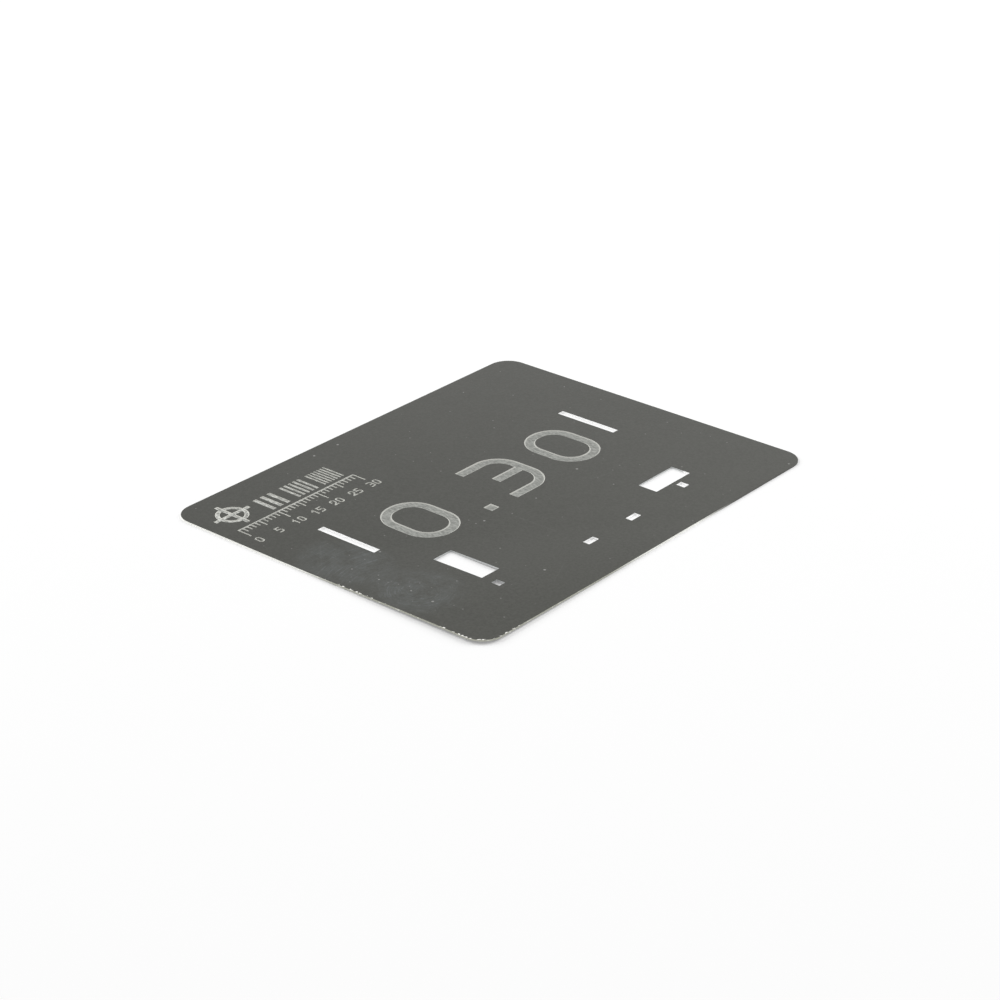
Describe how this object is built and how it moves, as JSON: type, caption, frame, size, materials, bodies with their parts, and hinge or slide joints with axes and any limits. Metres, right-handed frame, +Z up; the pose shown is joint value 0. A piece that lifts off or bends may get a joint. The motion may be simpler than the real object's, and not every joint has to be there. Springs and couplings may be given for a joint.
{
  "type": "solder paste stencil",
  "caption": "Thin steel sheet with rounded corners, through-cut slots, windows and pad openings, a half-etched number, scale and setting-out marks, and one slightly sprung corner.",
  "frame": {"origin": "under the middle of the sheet, on the surface that it lies on", "axes": "+X along the longer edges, in the reading direction of the marks, +Y from the edge below the marks to the edge above them, +Z up, out of the etched face"},
  "size_m": [0.095, 0.075, 0.0008],
  "materials": {
    "stencil_sheet": "satin dark grey face, with lighter bare steel in the half-etched marks and on the cut edges"
  },
  "bodies": {
    "root": {"stencil_sheet": "stencil_sheet"}
  },
  "joints": []
}
